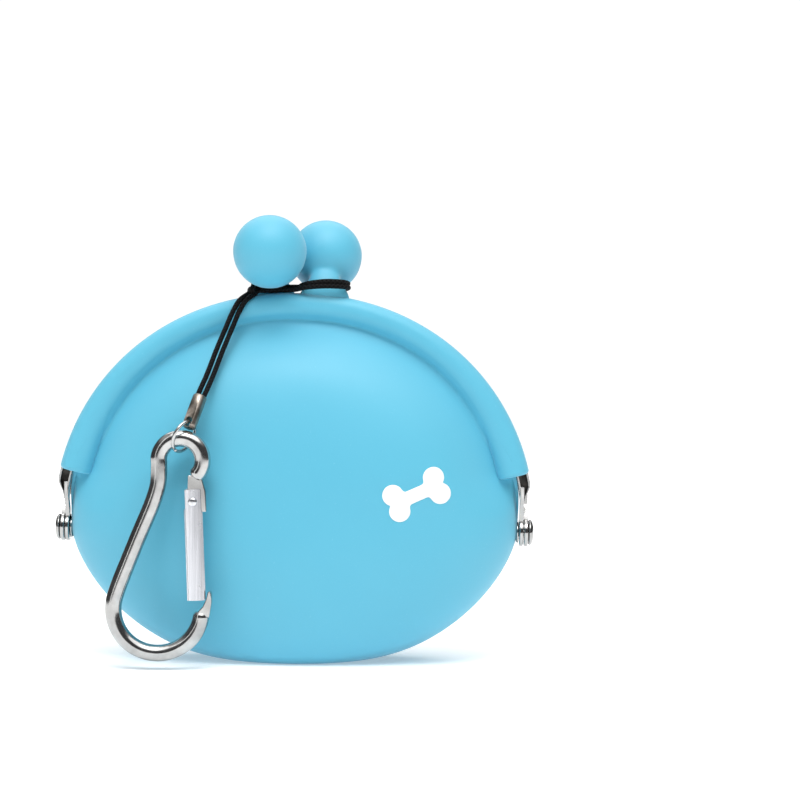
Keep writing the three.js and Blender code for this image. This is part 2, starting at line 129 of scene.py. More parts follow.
BALL_RADIUS = 8.0
BALL = Vector((5.9, 5.8, 89.0))
NECK_FOOT = Vector((BALL.x, -RIM_Y, 78.6))
NECK_HANDLES = (Vector((BALL.x, -RIM_Y, 83.5)), Vector((BALL.x, 0.8, 84)))
NECK_HALF_WIDE = 3.3
NECK_HALF_DEEP = 2.4
NECK_STEPS = 24
NECK_FLARE_Z = (79.2, 84.2)
NECK_FLARE = (0.75, -0.2)  # how much wider and deeper the neck's foot is, as shares
NECK_SIDES = 40
BALL_RINGS = 40
BALL_SIDES = 64
BALL_VOXEL = 0.34
BALL_SMOOTHING = 40
BALL_SKIN = 0.6  # what lies this close to the sphere or outside it goes back onto it
BALL_KEPT = (-2.5, 1.5)  # heights from its middle between which that fades in

PRINT_CENTRE = Vector((26.6, 0, 37.2))
PRINT_LEAN = math.radians(24)
PRINT_CELL = 0.28
PRINT_CELLS = (28, 18)  # half the grid's size across and up
PRINT_LIFT = 0.05
PRINT_FILM = 0.12
BONE_HALF_LENGTH = 4.7
BONE_LOBE_V = 1.85
BONE_LOBE = 2.25
BONE_SHAFT = 1.45
BONE_CORNER = 0.4
BONE_FILLET = 0.9

CORD = 1.1
CORD_GAP = 0.7  # half the distance between the two strands
CORD_PICK = 0.8 * CORD  # length of one pick
CORD_PER_SPAN = 9
CORD_SIDES = 14
CORD_INTO_FERRULE = 2.6
CORD_SQUEEZE = 0.5  # half the distance between the strands inside the ferrule
HITCH_CENTRE = Vector((-9.6, -3.1, 80.75))
HITCH_STEPS = 48
HITCH_TURN = 46  # steps in one full turn
HITCH_LIFT = 0.35
HITCH_REACH = Vector((0.25, 1.75, 1.25))
FERRULE_RADIUS = 1.5
FERRULE_TOP = Vector((-19.4, -18.6, 57.3))
FERRULE_HOLE = Vector((-21.0, -21.6, 52.0))
FERRULE_BELOW = 1.3
HOLE_RADIUS = 1.05
FERRULE_SIDES = 48

RING_CENTRE = Vector((-22.4, -21.6, 48.95))
RING_RADIUS = 3.35
RING_WIRE = 0.36
RING_YAW = math.radians(32)
RING_JOINT = math.radians(200)
RING_CLOSED = math.radians(356)
RING_STEPS = 72
RING_SIDES = 14

HOOK_WIRE = 1.75
HOOK_LOOP = 4.6
HOOK_BOW = 9.3
HOOK_BOW_V = -31.5
HOOK_TILT = math.radians(8)
HOOK_DROP = 0.4
PIN_U = 4.0
PIN_V = -8.2
GATE_LEAN = math.radians(10.9)
GATE_ABOVE = 2.6
GATE_BELOW = 20.6
GATE_HALF = 2.1
GATE_DEEP = 1.8
GATE_SHEET = 0.55
GATE_OPENING = math.radians(38)  # half the angle that the fold leaves open
GATE_POWER = 2.4
GATE_STEPS = 30
WIRE_SIDES = 36
WIRE_END = 0.72  # the wire's thickness at its ends, as a share
WIRE_END_FADE = (-0.3, 0.8)
WIRE_END_STEPS = 4
TONGUE_THICK = 1.7
LIP_THICK = 2.6
PIN_RADIUS = 0.6
PIN_HEAD = 0.95
PIN_HEAD_THICK = 0.35
PIN_PAST_GATE = 0.075
PIN_SIDES = 32

LENS = 92.0
SENSOR = 36.0
CAMERA = (22.8, -450, 57.2)
CAMERA_TURN = math.radians(0.75)
LIGHTS_AIM = (0, 0, 0.045)  # metres, like the lights' own places
FLOOR_RADIUS = 4000
SKY_STRENGTH = 0.7
BACKDROP = (1.5, 1.5, 1.5, 1)
SKY = [
    (0.45, (0.5, 0.5, 0.5)),
    (0.52, (0.1, 0.1, 0.105)),
    (0.76, (0.14, 0.14, 0.145)),
    (0.86, (0.85, 0.85, 0.85)),
    (0.95, (1.0, 1.0, 1.0)),
]


# ---- Small helpers ------------------------------------------------------------------------


def smoothstep(value, low, high):
    share = min(max((value - low) / (high - low), 0.0), 1.0)
    return share * share * (3 - 2 * share)


def mix(low, high, share):
    return low + (high - low) * share


def signed_power(value, power):
    return math.copysign(abs(value) ** power, value)


def half_turned(points, sign):
    """The points as they are, or turned half a turn about the vertical axis for sign -1."""
    return [(p[0] * sign, p[1] * sign, p[2]) for p in points]


def mesh_object(name, points, faces, material, smooth=True):
    """A mesh object from points in millimetres."""
    mesh = bpy.data.meshes.new(name)
    mesh.from_pydata([tuple(c * MM for c in point) for point in points], [], faces)
    mesh.validate()
    mesh.polygons.foreach_set("use_smooth", [smooth] * len(mesh.polygons))
    mesh.materials.append(material)
    obj = bpy.data.objects.new(name, mesh)
    bpy.context.scene.collection.objects.link(obj)
    return obj


def tube_faces(rings, sides):
    """Quads between neighbouring rings of a tube, and a cap on each end."""
    faces = []
    for row in range(rings - 1):
        here = row * sides
        there = here + sides
        for i in range(sides):
            j = (i + 1) % sides
            faces.append((here + i, here + j, there + j, there + i))
    faces.append(tuple(reversed(range(sides))))
    faces.append(tuple(range((rings - 1) * sides, rings * sides)))
    return faces


def turn_frames(path, start_side):
    """Side and up directions along a path, carried from point to point without twist."""
    frames = []
    side = start_side
    for i, point in enumerate(path):
        before = path[max(i - 1, 0)]
        after = path[min(i + 1, len(path) - 1)]
        along = (after - before).normalized()
        side = (side - along * side.dot(along)).normalized()
        frames.append((side, along.cross(side).normalized()))
    return frames


def tube(path, section, start_side):
    """Points and faces of a closed sweep. section(i) lists the (side, up) offsets at point i."""
    frames = turn_frames(path, start_side)
    points = []
    sides = 0
    for i, (point, (side, up)) in enumerate(zip(path, frames)):
        offsets = section(i)
        sides = len(offsets)
        points.extend(point + side * a + up * b for a, b in offsets)
    return points, tube_faces(len(path), sides)


def circle(radius, sides):
    turns = [2 * math.pi * i / sides for i in range(sides)]
    return [(radius * math.cos(turn), radius * math.sin(turn)) for turn in turns]


def curve_points(controls, per_span):
    """A centripetal Catmull-Rom curve through the control points."""
    points = [controls[0] * 2 - controls[1], *controls, controls[-1] * 2 - controls[-2]]
    result = []
    for p0, p1, p2, p3 in zip(points, points[1:], points[2:], points[3:]):
        t1 = (p1 - p0).length ** 0.5
        t2 = t1 + (p2 - p1).length ** 0.5
        t3 = t2 + (p3 - p2).length ** 0.5
        for step in range(per_span):
            t = mix(t1, t2, step / per_span)
            a1 = p0.lerp(p1, t / t1)
            a2 = p1.lerp(p2, (t - t1) / (t2 - t1))
            a3 = p2.lerp(p3, (t - t2) / (t3 - t2))
            b1 = a1.lerp(a2, t / t2)
            b2 = a2.lerp(a3, (t - t1) / (t3 - t1))
            result.append(b1.lerp(b2, (t - t1) / (t2 - t1)))
    result.append(controls[-1].copy())
    return result


def lathe(profile, sides, place):
    """A turned part. The profile lists (radius, height) from one end of the axis to the other."""
    points = []
    for radius, height in profile:
        points.extend(place @ Vector((a, b, height)) for a, b in circle(radius, sides))
    return points, tube_faces(len(profile), sides)


def extrude(outline, half, place):
    """A plate from a list of (u, v) corners, centred on its own plane."""
    count = len(outline)
    points = [place @ Vector((u, v, -half)) for u, v in outline]
    points += [place @ Vector((u, v, half)) for u, v in outline]
    faces = [(i, (i + 1) % count, (i + 1) % count + count, i + count) for i in range(count)]
    faces.append(tuple(reversed(range(count))))
    faces.append(tuple(range(count, 2 * count)))
    return points, faces


def merged(*parts):
    """Several point-and-face lists as one."""
    points = []
    faces = []
    for more_points, more_faces in parts:
        start = len(points)
        points.extend(more_points)
        faces.extend(tuple(start + i for i in face) for face in more_faces)
    return points, faces


def add_bevel(obj, width, segments=2, angle=35):
    bevel = obj.modifiers.new("bevel", "BEVEL")
    bevel.width = width * MM
    bevel.segments = segments
    bevel.limit_method = "ANGLE"
    bevel.angle_limit = math.radians(angle)
    bevel.harden_normals = True
    return bevel


def apply_modifiers(obj):
    """Replaces the object's mesh by the one its modifiers make."""
    graph = bpy.context.evaluated_depsgraph_get()
    mesh = bpy.data.meshes.new_from_object(obj.evaluated_get(graph))
    obj.modifiers.clear()
    obj.data = mesh


# ---- Materials ----------------------------------------------------------------------------


def set_stops(ramp, stops):
    """Gives a colour ramp its stops, each (place, colour)."""
    elements = ramp.color_ramp.elements
    elements[0].position, elements[0].color = stops[0][0], (*stops[0][1], 1)
    elements[1].position, elements[1].color = stops[-1][0], (*stops[-1][1], 1)
    for position, colour in stops[1:-1]:
        elements.new(position).color = (*colour, 1)


class Finish:
    """A procedural material under construction."""

    def __init__(self, name):
        self.material = bpy.data.materials.new(name)
        self.material.use_nodes = True
        self.tree = self.material.node_tree
        self.shader = self.tree.nodes["Principled BSDF"]

    def node(self, kind, **inputs):
        made = self.tree.nodes.new(kind)
        for name, value in inputs.items():
            made.inputs[name.replace("_", " ")].default_value = value
        return made

    def link(self, output, target):
        self.tree.links.new(output, target)

    def set(self, **sockets):
        for name, value in sockets.items():
            self.shader.inputs[name.replace("_", " ")].default_value = value

    def place(self, stretch=(1, 1, 1)):
        """Object coordinates in metres, stretched along the three axes."""
        coordinate = self.node("ShaderNodeTexCoord")
        mapping = self.node("ShaderNodeMapping", Scale=stretch)
        self.link(coordinate.outputs["Object"], mapping.inputs["Vector"])
        return mapping.outputs["Vector"]

    def noise(self, scale, detail=3.0, stretch=(1, 1, 1)):
        texture = self.node("ShaderNodeTexNoise", Scale=scale, Detail=detail)
        self.link(self.place(stretch), texture.inputs["Vector"])
        return texture.outputs["Fac"]

    def between(self, factor, low, high):
        """A number that runs from low to high with the factor."""
        spread = self.node("ShaderNodeMapRange")
        spread.inputs["To Min"].default_value = low
        spread.inputs["To Max"].default_value = high
        self.link(factor, spread.inputs["Value"])
        return spread.outputs["Result"]

    def colours(self, factor, stops):
        """A colour ramp over the factor."""
        ramp = self.node("ShaderNodeValToRGB")
        set_stops(ramp, stops)
        self.link(factor, ramp.inputs["Fac"])
        return ramp.outputs["Color"]

    def base(self, factor, stops):
        self.link(self.colours(factor, stops), self.shader.inputs["Base Color"])

    def roughness(self, factor, low, high):
        self.link(self.between(factor, low, high), self.shader.inputs["Roughness"])

    def bump(self, *layers):
        """Stacks bump maps. Each layer is (height, depth in mm, strength)."""
        normal = None
        for height, depth, strength in layers:
            bump = self.node("ShaderNodeBump", Strength=strength, Distance=depth * MM)
            self.link(height, bump.inputs["Height"])
            if normal:
                self.link(normal, bump.inputs["Normal"])
            normal = bump.outputs["Normal"]
        self.link(normal, self.shader.inputs["Normal"])


def silicone():
    """Moulded matte silicone: a fine blasted grain, faint dust and slow colour drift."""
    finish = Finish("pouch_silicone")
    drift = finish.noise(22.0, 2.0)
    body = finish.colours(drift, [(0.3, (0.078, 0.445, 0.62)), (0.7, (0.09, 0.47, 0.645))])
    dust = finish.noise(2600.0, 2.0)
    specks = finish.colours(dust, [(0.66, (0, 0, 0)), (0.78, (0.22, 0.22, 0.22))])
    dusted = finish.node("ShaderNodeMix")
    dusted.data_type = "RGBA"
    dusted.inputs["B"].default_value = (0.24, 0.62, 0.79, 1)
    finish.link(specks, dusted.inputs["Factor"])
    finish.link(body, dusted.inputs["A"])
    finish.link(dusted.outputs["Result"], finish.shader.inputs["Base Color"])
    finish.roughness(finish.noise(60.0), 0.5, 0.64)
    finish.set(Sheen_Weight=0.25, Sheen_Roughness=0.5, Specular_IOR_Level=0.75)
    grain = finish.noise(5200.0, 2.0)
    waves = finish.noise(55.0, 2.0)
    finish.bump((waves, 0.16, 0.25), (grain, 0.02, 0.3))
    return finish.material


def nickel():
    """Bright plating with hairline scratches and faint cloudy wear."""
    finish = Finish("nickel_plate")
    cloud = finish.noise(240.0, 4.0)
    finish.base(cloud, [(0.35, (0.38, 0.376, 0.37)), (0.65, (0.54, 0.54, 0.53))])
    finish.roughness(cloud, 0.09, 0.2)
    finish.set(Metallic=1.0)
    scratches = finish.noise(900.0, 6.0, (1, 1, 0.08))
    finish.bump((scratches, 0.012, 0.35), (finish.noise(420.0, 2.0), 0.03, 0.2))
    return finish.material


def painted_channel_shade():
    """Painted shade for the inside of the rolled channels: a dark, dull steel colour that stands in for
    the shade in the channel's hollow, mottled at random.
    """
    finish = Finish("painted_channel_shade")
    # Random mottle in the painted shade's colour, roughness and bump.
    shade_mottle = finish.noise(500.0, 4.0)
    finish.base(shade_mottle, [(0.35, (0.03, 0.027, 0.024)), (0.7, (0.12, 0.11, 0.1))])
    finish.roughness(shade_mottle, 0.6, 0.4)
    finish.set(Metallic=0.8)
    finish.bump((shade_mottle, 0.02, 0.4))
    return finish.material


def gunmetal():
    """Brownish drawn tube, rubbed brighter in places."""
    finish = Finish("gunmetal_tube")
    rubbed = finish.noise(700.0, 4.0)
    finish.base(rubbed, [(0.3, (0.17, 0.145, 0.12)), (0.7, (0.36, 0.32, 0.28))])
    finish.roughness(rubbed, 0.42, 0.26)
    finish.set(Metallic=1.0)
    finish.bump((finish.noise(1500.0, 5.0, (1, 1, 0.06)), 0.02, 0.45))
    return finish.material


def aluminium():
    """Brushed sheet, with the lines running along the gate."""
    finish = Finish("brushed_aluminium")
    lines = finish.noise(1800.0, 5.0, (1, 1, 0.03))
    finish.base(lines, [(0.3, (0.55, 0.555, 0.59)), (0.7, (0.76, 0.765, 0.8))])
    finish.roughness(finish.noise(160.0), 0.2, 0.32)
    finish.set(Metallic=1.0)
    finish.bump((lines, 0.006, 0.3))
    return finish.material


def braid():
    """Black braided nylon. The UV map counts the braid's picks round and along the cord."""
    finish = Finish("braided_nylon")
    place = finish.node("ShaderNodeUVMap")
    ridges = []
    for lean in (1.0, -1.0):
        mapping = finish.node("ShaderNodeMapping", Scale=(4.0, 1.0, 1.0))
        shear = finish.node("ShaderNodeSeparateXYZ")
        both = finish.node("ShaderNodeMath")
        both.operation = "MULTIPLY_ADD"
        both.inputs[1].default_value = lean
        waves = finish.node("ShaderNodeMath")
        waves.operation = "SINE"
        finish.link(place.outputs["UV"], mapping.inputs["Vector"])
        finish.link(mapping.outputs["Vector"], shear.inputs["Vector"])
        finish.link(shear.outputs["X"], both.inputs[0])
        finish.link(shear.outputs["Y"], both.inputs[2])
        scaled = finish.node("ShaderNodeMath")
        scaled.operation = "MULTIPLY"
        scaled.inputs[1].default_value = 2 * math.pi
        finish.link(both.outputs["Value"], scaled.inputs[0])
        finish.link(scaled.outputs["Value"], waves.inputs[0])
        ridges.append(waves.outputs["Value"])
    crossed = finish.node("ShaderNodeMath")
    crossed.operation = "MAXIMUM"
    finish.link(ridges[0], crossed.inputs[0])
    finish.link(ridges[1], crossed.inputs[1])
    ridge = crossed.outputs["Value"]
    blacks = [(0.0, (0.0008, 0.0008, 0.001)), (1.0, (0.004, 0.004, 0.0045))]
    finish.base(ridge, blacks)
    finish.roughness(ridge, 0.85, 0.6)
    finish.set(Sheen_Weight=0.02, Sheen_Roughness=0.4, Specular_IOR_Level=0.16)
    finish.bump((ridge, 0.1, 0.8), (finish.noise(9000.0, 2.0), 0.02, 0.4))
    return finish.material


def ink():
    """White pad print: thin, slightly mottled and a little glossier than the silicone."""
    finish = Finish("pad_print_ink")
    mottle = finish.noise(1400.0, 4.0)
    finish.base(mottle, [(0.3, (0.86, 0.88, 0.9)), (0.6, (0.95, 0.955, 0.96))])
    finish.roughness(mottle, 0.42, 0.55)
    finish.bump((mottle, 0.02, 0.3))
    return finish.material


def floor_paint():
    """Plain pale studio floor, with a faint glow that keeps it white as far as the horizon."""
    finish = Finish("studio_floor")
    finish.base(finish.noise(3.0), [(0.0, (0.86, 0.865, 0.87)), (1.0, (0.88, 0.885, 0.89))])
    finish.set(Roughness=0.85, Specular_IOR_Level=0.2)
    finish.set(Emission_Color=(1, 1, 1, 1), Emission_Strength=0.3)
    return finish.material


SILICONE = silicone()
NICKEL = nickel()
# The second steel material is painted shade for the channels' hollows.
PAINTED_CHANNEL_SHADE = painted_channel_shade()
GUNMETAL = gunmetal()
ALUMINIUM = aluminium()
NYLON = braid()
INK = ink()


# ---- The silicone bag ---------------------------------------------------------------------


def arch_share(x, rise, half_width, height):
    """How far out a point lies: 0 at the middle of the hinge line, 1 on the superellipse."""
    power = ARCH_POWER
    return ((abs(x) / half_width) ** power + (max(rise, 0.0) / height) ** power) ** (1 / power)


def arch_half_width(rise, half_width, height):
    left = 1 - (min(max(rise, 0.0), height) / height) ** ARCH_POWER
    return half_width * left ** (1 / ARCH_POWER)


def arch_start(z, height):
    """The angle at which an arch of this height reaches down to z."""
    return math.asin(((z - HINGE_Z) / height) ** (ARCH_POWER / 2))


def arch_point(angle, half_width, height):
    """A point on the superellipse as x and rise, with the outward direction there."""
    x = half_width * signed_power(math.cos(angle), 2 / ARCH_POWER)
    rise = height * math.sin(angle) ** (2 / ARCH_POWER)
    slope = ARCH_POWER - 1
    across = math.copysign(abs(x) ** slope / half_width**ARCH_POWER, x)
    return x, rise, Vector((across, 0, rise**slope / height**ARCH_POWER)).normalized()


def rim_half_wide(rise):
    share = smoothstep(rise, SLEEVE_NARROWS, SLEEVE_OUT[1])
    return mix(SLEEVE_HALF_WIDE[0], SLEEVE_HALF_WIDE[1], share)


def bowl_half_width(z):
    share = 1 - z / HINGE_Z
    spread = (1 - share ** BOWL_POWERS[0]) ** (1 / BOWL_POWERS[1])
    return FLAT_HALF_WIDTH + (BAG_HALF_WIDTH - FLAT_HALF_WIDTH) * spread


def bowl_half_depth(z):
    share = 1 - z / HINGE_Z
    return FLAT_HALF_DEPTH + (BAG_HALF_DEPTH - FLAT_HALF_DEPTH) * math.sqrt(1 - share**2)


def bag_half_width(z):
    if z < HINGE_Z:
        return bowl_half_width(z)
    rise = z - HINGE_Z
    shoulder = SHOULDER * smoothstep(rise, *SHOULDER_GROWS) * (1 - smoothstep(rise, *SHOULDER_FADES))
    return shoulder + arch_half_width(rise, BAG_HALF_WIDTH, WALL_HEIGHT)


def wall_depth(x, rise):
    """The belly of a wall, pulled down into a soft groove where it meets the rim."""
    share = min(arch_share(x, rise, BAG_HALF_WIDTH, WALL_HEIGHT), 1.0)
    groove = 1 - math.exp(-(((1 - share) / GROOVE) ** GROOVE_POWER))
    belly = RIM_Y + (BAG_HALF_DEPTH - RIM_Y) * (1 - share**CROWN) ** FULLNESS * groove
    middle = RIM_Y + (BAG_HALF_DEPTH - RIM_Y) * (1 - (rise / WALL_HEIGHT) ** CROWN) ** FULLNESS
    across = min(abs(x) / arch_half_width(rise, BAG_HALF_WIDTH, WALL_HEIGHT), 1.0)
    closed = middle * math.sqrt(1 - across**2)
    return mix(closed, belly, smoothstep(rise, *SIDE_OPENS))


def rim_depth(x, rise):
    """The front of the hollow rim, whose inner side melts into the wall at its lower end."""
    share = arch_share(x, rise, *SLEEVE_OUT)
    half = rim_half_wide(rise)
    inward = (1 / share - 1) * math.hypot(x, rise)
    off = min(abs(inward - half) / half, 1.0)
    melt = RIM_MELT_LENGTH * smoothstep(inward, *(edge * half for edge in RIM_MELT_ACROSS))
    end = smoothstep(rise, RIM_STARTS, RIM_STARTS + RIM_START_LENGTH + melt)
    return (RIM_Y + SLEEVE_HALF_DEEP[0] * math.sqrt(1 - off**RIM_ROUND)) * end


def front_depth(x, z):
    """How far the front skin stands out from the middle plane."""
    if z < HINGE_Z:
        across = min(abs(x) / bowl_half_width(z), 1.0)
        return bowl_half_depth(z) * math.sqrt(1 - across**2)
    wall = wall_depth(x, z - HINGE_Z)
    rim = rim_depth(x, z - HINGE_Z)
    near = max(CREASE - abs(wall - rim), 0.0) / CREASE
    return max(wall, rim) + near * near * CREASE / 4


def skin_rows():
    """Heights of the skin's rows, closer together near the floor and near the top."""
    rows = [HINGE_Z * (i / BOWL_ROWS) ** 2 for i in range(BOWL_ROWS)]
    for i in range(WALL_ROWS + 1):
        rows.append(HINGE_Z + WALL_HEIGHT * WALL_TOP * math.sin(math.pi / 2 * i / WALL_ROWS))
    return rows


def skin_turns():
    """Angles from one side edge to the other, closer together at the edges."""
    shares = [i / SKIN_COLUMNS for i in range(SKIN_COLUMNS + 1)]
    crowding = SKIN_CROWDING / (2 * math.pi)
    return [math.pi * (s - crowding * math.sin(2 * math.pi * s)) for s in shares]


def strips(first, rows, columns):
    """Quads of a grid whose rows of points follow each other from index first on."""
    faces = []
    for row in range(rows - 1):
        here = first + row * columns
        there = here + columns
        faces.extend((here + i, there + i, there + i + 1, here + i + 1) for i in range(columns - 1))
    return faces


def half_skin(name, sign):
    """The front or rear half of the bag, split from the other along the middle plane."""
    turns = skin_turns()
    points = [(0.0, 0.0, 0.0)]
    for share in FLOOR_RINGS:
        for turn in turns:
            x = FLAT_HALF_WIDTH * share * math.cos(turn)
            points.append((x * sign, -FLAT_HALF_DEPTH * share * math.sin(turn) * sign, 0.0))
    for z in skin_rows():
        width = bag_half_width(z)
        for turn in turns:
            x = width * math.cos(turn)
            points.append((x * sign, -front_depth(x, z) * sign, z))
    count = len(turns)
    faces = [(0, 1 + i, 2 + i) for i in range(count - 1)]
    faces += strips(1, len(points) // count, count)
    skin = mesh_object(name, points, faces, SILICONE)
    shell = skin.modifiers.new("wall thickness", "SOLIDIFY")
    shell.thickness = SKIN * MM
    shell.offset = -1.0
    return skin


def bend_with(skin):
    """Bakes the object's placement into its mesh, where it stays."""
    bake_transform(skin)


def half_rim(name, sign):
    """The hollow rim that the steel channel is pushed through, with rounded ends."""
    start = arch_start(SLEEVE_END_Z, SLEEVE_OUT[1])
    angles = [mix(start, math.pi - start, i / SLEEVE_STEPS) for i in range(SLEEVE_STEPS + 1)]
    offset = 1 / SLEEVE_OUT[0]
    ends = [(start + along * offset, scale) for along, scale in SLEEVE_ROUNDING]
    turns = ends + [(a, 1.0) for a in angles if start + offset < a < math.pi - start - offset]
    turns += [(math.pi - a, scale) for a, scale in reversed(ends)]
    points = []
    for angle, scale in turns:
        x, rise, out = arch_point(angle, *SLEEVE_OUT)
        half = rim_half_wide(rise)
        centre = Vector((x, -RIM_Y, HINGE_Z + rise)) - out * half
        for across, up in circle(1.0, SLEEVE_SIDES):
            u = signed_power(across, 2 / SLEEVE_POWER) * half * scale
            deep = SLEEVE_HALF_DEEP[0 if up < 0 else 1] * scale
            v = signed_power(up, 2 / SLEEVE_POWER) * deep
            points.append(centre + out * u + Vector((0, v, 0)))
    faces = tube_faces(len(turns), SLEEVE_SIDES)
    return mesh_object(name, half_turned(points, sign), faces, SILICONE)


def half_gusset(name, sign, side):
    """The thin web in the side of the mouth."""
    points = []
    for row in range(GUSSET_ROWS + 1):
        rise = mix(*GUSSET_RISE, row / GUSSET_ROWS)
        x = (bag_half_width(HINGE_Z + rise) - GUSSET_INSET) * side
        for column in range(GUSSET_COLUMNS + 1):
            points.append((x, -GUSSET_DEEP * sign * column / GUSSET_COLUMNS, HINGE_Z + rise))
    faces = [tuple(reversed(face)) for face in strips(0, GUSSET_ROWS + 1, GUSSET_COLUMNS + 1)]
    web = mesh_object(name, points, faces, SILICONE)
    shell = web.modifiers.new("web thickness", "SOLIDIFY")
    shell.thickness = GUSSET_SHEET * MM
    shell.offset = 0.0
    return web


def neck_path():
    """The S from the rim up to the ball's middle, as one Bezier span."""
    path = []
    for i in range(NECK_STEPS + 1):
        t = i / NECK_STEPS
        weights = ((1 - t) ** 3, 3 * t * (1 - t) ** 2, 3 * t * t * (1 - t), t**3)
        line = (NECK_FOOT, *NECK_HANDLES, BALL)
        path.append(sum((p * w for p, w in zip(line, weights)), Vector()))
    return path


def neck_and_sphere():
    path = neck_path()

    def section(i):
        flare = 1 - smoothstep(path[i].z, *NECK_FLARE_Z)
        wide = NECK_HALF_WIDE * (1 + NECK_FLARE[0] * flare)
        deep = NECK_HALF_DEEP * (1 + NECK_FLARE[1] * flare)
        return [(a * wide, b * deep) for a, b in circle(1.0, NECK_SIDES)]

    profile = []
    for i in range(1, BALL_RINGS):
        turn = math.pi * i / BALL_RINGS
        profile.append((BALL_RADIUS * math.sin(turn), -BALL_RADIUS * math.cos(turn)))
    ball = lathe(profile, BALL_SIDES, Matrix.Translation(BALL))
    return merged(tube(path, section, Vector((1, 0, 0))), ball)


def half_ball(name, sign):
    """A rubber ball and its S-shaped neck, blended into each other."""
    points, faces = neck_and_sphere()
    obj = mesh_object(name, half_turned(points, sign), faces, SILICONE)
    remesh = obj.modifiers.new("merge", "REMESH")
    remesh.mode = "VOXEL"
    remesh.voxel_size = BALL_VOXEL * MM
    smooth = obj.modifiers.new("fillet", "SMOOTH")
    smooth.factor = 0.5
    smooth.iterations = BALL_SMOOTHING
    apply_modifiers(obj)
    for vertex in obj.data.vertices:
        away = vertex.co / MM - Vector((BALL.x * sign, BALL.y * sign, BALL.z))
        if away.length > BALL_RADIUS - BALL_SKIN:
            keep = smoothstep(away.z, *BALL_KEPT)
            vertex.co += away.normalized() * (BALL_RADIUS - away.length) * keep * MM
    obj.data.polygons.foreach_set("use_smooth", [True] * len(obj.data.polygons))
    obj.data.materials.clear()
    obj.data.materials.append(SILICONE)
    return obj


def build_bag():
    for name, sign in (("front", 1), ("rear", -1)):
        body = f"{name}_frame"
        skin = half_skin(f"{name}_skin", sign)
        bend_with(skin)
        rim = half_rim(f"{name}_rim", sign)
        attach(rim, body)
        for side_name, side in (("right", 1), ("left", -1)):
            web = half_gusset(f"{name}_{side_name}_gusset", sign, side)
            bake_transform(web)
        ball = half_ball(f"{name}_soft_ball", sign)
        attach(ball, body)
        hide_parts(f"{name}_wall")
        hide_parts(f"{name}_ball")
        if name == "front":
            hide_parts("pouch_base")


# ---- The white print ----------------------------------------------------------------------


def bone_distance(u, v):
    """Signed distance to a plain bone outline about its own middle, in millimetres."""
    past_shaft = max(abs(v) - BONE_SHAFT + BONE_CORNER, 0.0)
    bar = math.hypot(max(abs(u) - BONE_HALF_LENGTH, 0.0), past_shaft) - BONE_CORNER
    lobe = math.hypot(abs(u) - BONE_HALF_LENGTH, abs(v) - BONE_LOBE_V) - BONE_LOBE
    near = max(BONE_FILLET - abs(bar - lobe), 0.0) / BONE_FILLET
    return min(bar, lobe) - near * near * BONE_FILLET / 4


def onto_outline(u, v):
    """The point moved onto the bone's outline, by a few steps down the distance's slope."""
    step = 0.02
    for _ in range(4):
        here = bone_distance(u, v)
        slope_u = (bone_distance(u + step, v) - here) / step
        slope_v = (bone_distance(u, v + step) - here) / step
        size = slope_u**2 + slope_v**2
        u -= here * slope_u / size
        v -= here * slope_v / size
    return u, v


def bone_print():
    """A thin ink film that follows the front wall: the grid cells inside the bone."""
    across, up = PRINT_CELLS
    corners = [(a, b) for a in (0, 1) for b in (0, 1)]
    kept = []
    for i in range(-across, across):
        for j in range(-up, up):
            if bone_distance((i + 0.5) * PRINT_CELL, (j + 0.5) * PRINT_CELL) < 0:
                kept.append((i, j))
    cells = set(kept)
    used = sorted({(i + a, j + b) for i, j in kept for a, b in corners})
    index = {spot: number for number, spot in enumerate(used)}
    cosine, sine = math.cos(PRINT_LEAN), math.sin(PRINT_LEAN)
    points = []
    for i, j in used:
        u, v = i * PRINT_CELL, j * PRINT_CELL
        if not all((i - a, j - b) in cells for a, b in corners):
            u, v = onto_outline(u, v)
        x = PRINT_CENTRE.x + u * cosine - v * sine
        z = PRINT_CENTRE.z + u * sine + v * cosine
        points.append((x, -front_depth(x, z) - PRINT_LIFT, z))
    faces = [(index[i, j], index[i + 1, j], index[i + 1, j + 1], index[i, j + 1]) for i, j in kept]
    film = mesh_object("front_print", points, faces, INK)
    shell = film.modifiers.new("film thickness", "SOLIDIFY")
    shell.thickness = PRINT_FILM * MM
    shell.offset = -0.2
    return film


# ---- The steel frames and rivets ----------------------------------------------------------


def along_x(x):
    """Places a part whose own axis is Z on the hinge axis, from x outwards along +X."""
    return Matrix.Translation((x, 0, HINGE_Z)) @ Matrix.Rotation(math.pi / 2, 4, "Y")


def channel():
    """The rolled steel channel, bent along its arch and narrowed at its two ends."""
    deep, wide, sheet = CHANNEL_HALF_DEEP, CHANNEL_HALF_WIDE, CHANNEL_SHEET
    outline = [
        (-deep, -wide),
        (deep, -wide),
        (deep, -wide + sheet),
        (-deep + sheet, -wide + sheet),
        (-deep + sheet, wide - sheet),
        (deep, wide - sheet),
        (deep, wide),
        (-deep, wide),
    ]
    start = arch_start(CHANNEL_END_Z, CHANNEL_LINE[1])
    low = CHANNEL_END_Z - HINGE_Z
    points = []
    for i in range(CHANNEL_STEPS + 1):
        x, rise, out = arch_point(mix(start, math.pi - start, i / CHANNEL_STEPS), *CHANNEL_LINE)
        middle = Vector((x, -RIM_Y, HINGE_Z + rise))
        taper = mix(CHANNEL_TAPER, 1.0, smoothstep(rise, low, low + CHANNEL_TAPER_LENGTH))
        for front_off, wide_off in outline:
            across_off = -wide + (wide_off + wide) * taper
            points.append(middle + out * across_off + Vector((0, -front_off, 0)))
    return points, tube_faces(CHANNEL_STEPS + 1, CHANNEL_SIDES)


